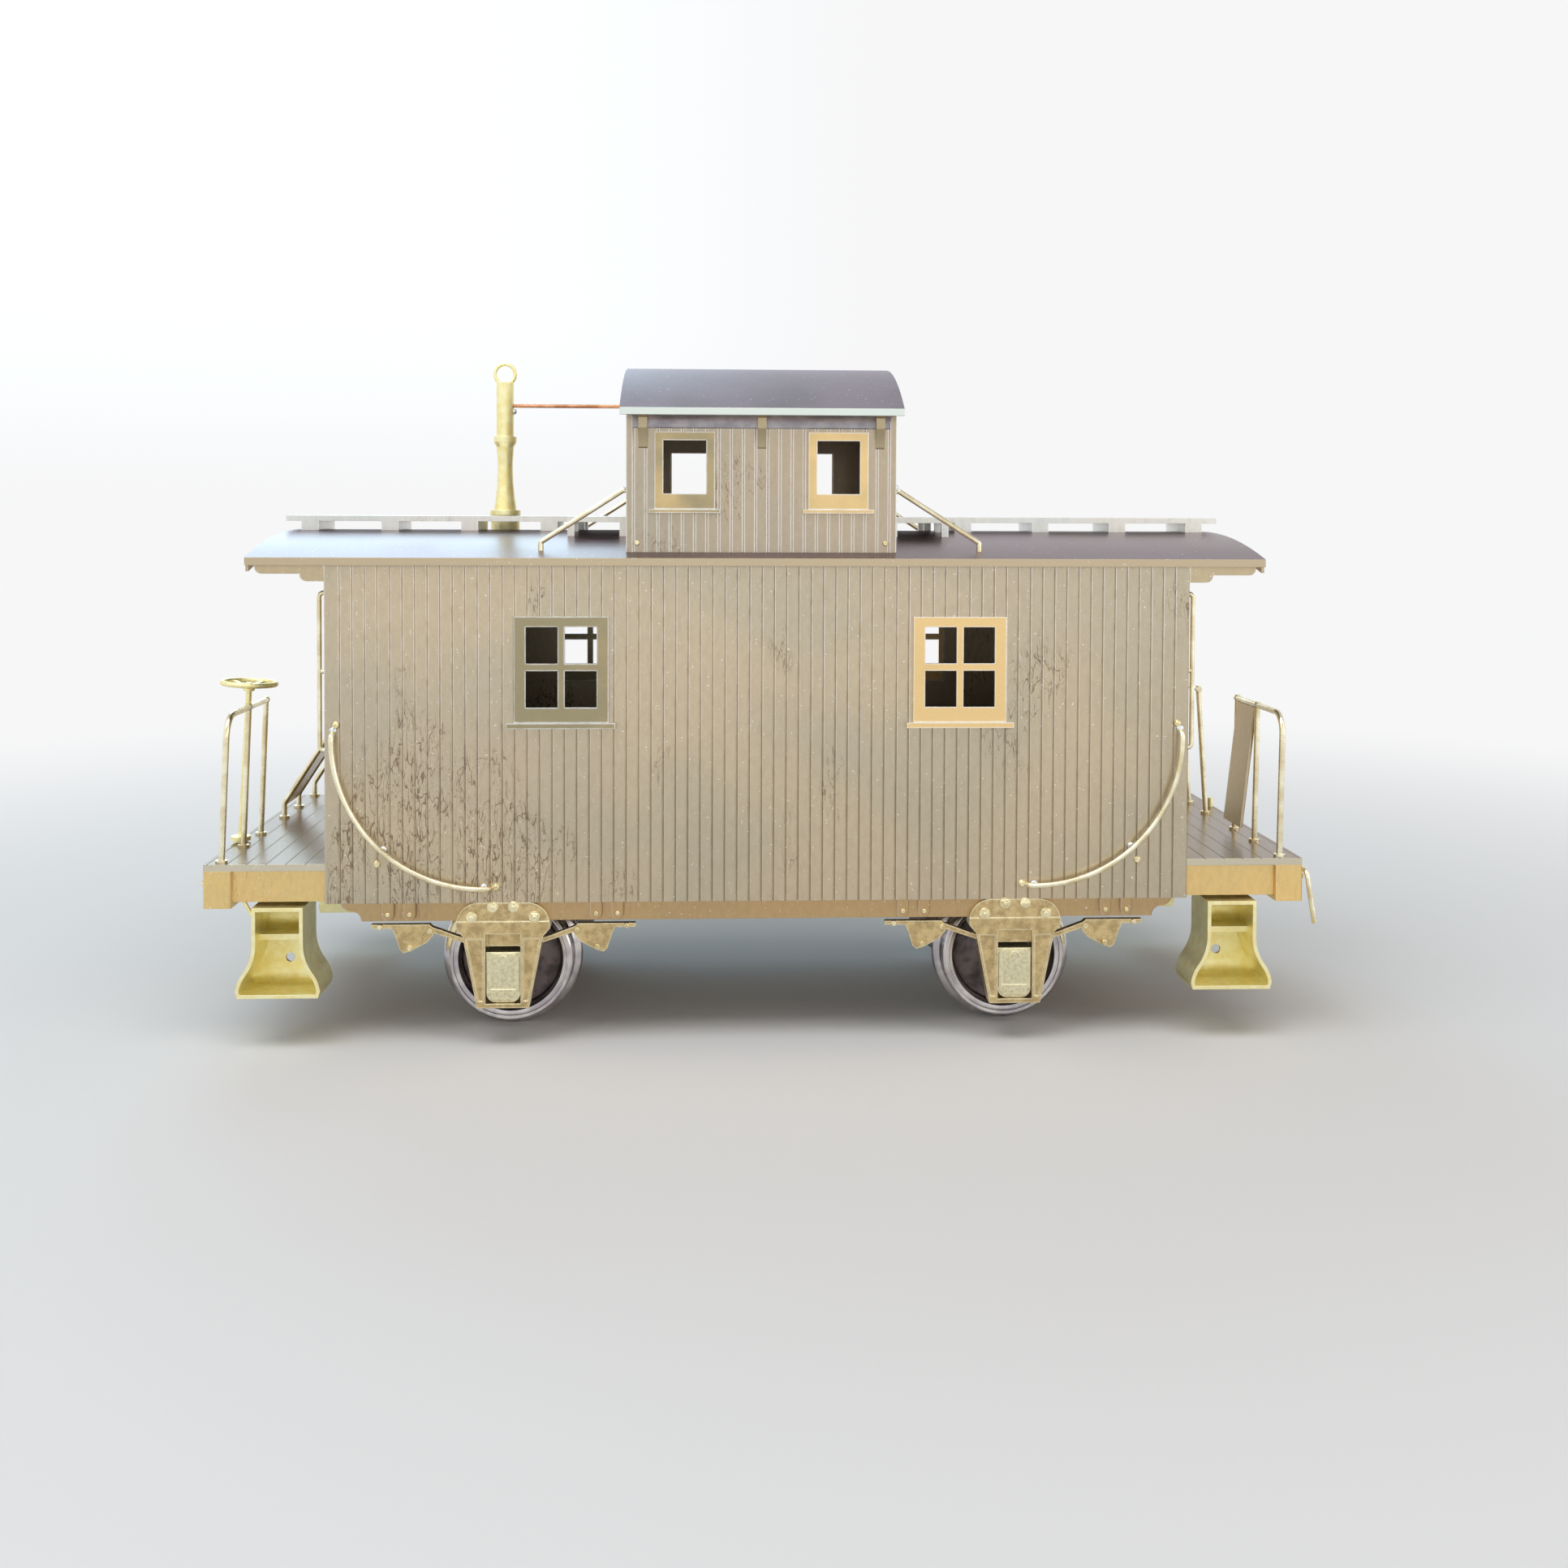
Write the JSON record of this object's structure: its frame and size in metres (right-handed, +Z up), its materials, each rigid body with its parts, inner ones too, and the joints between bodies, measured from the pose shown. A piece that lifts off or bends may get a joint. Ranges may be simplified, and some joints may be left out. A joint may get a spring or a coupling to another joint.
{
  "type": "scale model caboose",
  "caption": "Brass O scale model of a short four-wheel caboose: plank-sided body, cupola, roofwalks, end platforms with railings and steps, and turning wheelsets.",
  "frame": {"origin": "under the middle of the car, on the plane of the wheel flange bottoms", "axes": "+X along the car to the right end as pictured, -Y towards the pictured side, +Z up"},
  "size_m": [0.1536, 0.0576, 0.0956],
  "materials": {
    "sheet_brass": "satin rolled brass under old lacquer",
    "cast_brass": "lost-wax cast brass, fine grained",
    "roof_brass": "smooth lacquered brass",
    "wire_brass": "drawn brass wire with soldered joints",
    "plated_wheel": "plated turned wheel, dark plate",
    "steel_axle": "turned steel",
    "copper_wire": "bare copper wire"
  },
  "bodies": {
    "car": {"brake_wheels": "cast_brass", "centre_sill": "sheet_brass", "corner_handrails": "wire_brass", "cupola_end_frames": "sheet_brass", "cupola_end_left": "sheet_brass", "cupola_end_right": "sheet_brass", "cupola_frames_back": "sheet_brass", "cupola_frames_front": "sheet_brass", "cupola_handrails": "wire_brass", "cupola_roof": "roof_brass", "cupola_side_back": "sheet_brass", "cupola_side_front": "sheet_brass", "eave_brackets": "sheet_brass", "eave_coves": "sheet_brass", "end_beam_left": "sheet_brass", "end_beam_right": "sheet_brass", "end_door_left": "sheet_brass", "end_door_right": "sheet_brass", "end_wall_left": "sheet_brass", "end_wall_right": "sheet_brass", "end_window_frames": "sheet_brass", "floor_deck": "sheet_brass", "grab_irons": "wire_brass", "jack_brace": "copper_wire", "journal_box_left_back": "cast_brass", "journal_box_left_front": "cast_brass", "journal_box_right_back": "cast_brass", "journal_box_right_front": "cast_brass", "lateral_boards": "sheet_brass", "main_roof": "roof_brass", "pedestal_left_back": "cast_brass", "pedestal_left_front": "cast_brass", "pedestal_right_back": "cast_brass", "pedestal_right_front": "cast_brass", "rail_plate_left": "sheet_brass", "rail_plate_right": "sheet_brass", "railing_left_back": "wire_brass", "railing_left_front": "wire_brass", "railing_right_back": "wire_brass", "railing_right_front": "wire_brass", "roofwalk_left": "sheet_brass", "roofwalk_right": "sheet_brass", "side_sill_back": "sheet_brass", "side_sill_front": "sheet_brass", "siding_back": "sheet_brass", "siding_front": "sheet_brass", "smokejack": "cast_brass", "step_left_back": "cast_brass", "step_left_front": "cast_brass", "step_right_back": "cast_brass", "step_right_front": "cast_brass", "uncoupling_levers": "wire_brass", "window_frames_back": "sheet_brass", "window_frames_front": "sheet_brass"},
    "left_wheelset": {"axle_left": "steel_axle", "wheel_left_front": "plated_wheel", "wheel_left_back": "plated_wheel"},
    "right_wheelset": {"axle_right": "steel_axle", "wheel_right_front": "plated_wheel", "wheel_right_back": "plated_wheel"}
  },
  "joints": [
    {"name": "left_axle_turn", "type": "hinge", "parent": "car", "child": "left_wheelset", "pos_m": [-0.0348, 0, 0.00985], "axis": [0, 1, 0], "continuous": true},
    {"name": "right_axle_turn", "type": "hinge", "parent": "car", "child": "right_wheelset", "pos_m": [0.0348, 0, 0.00985], "axis": [0, 1, 0], "continuous": true}
  ]
}
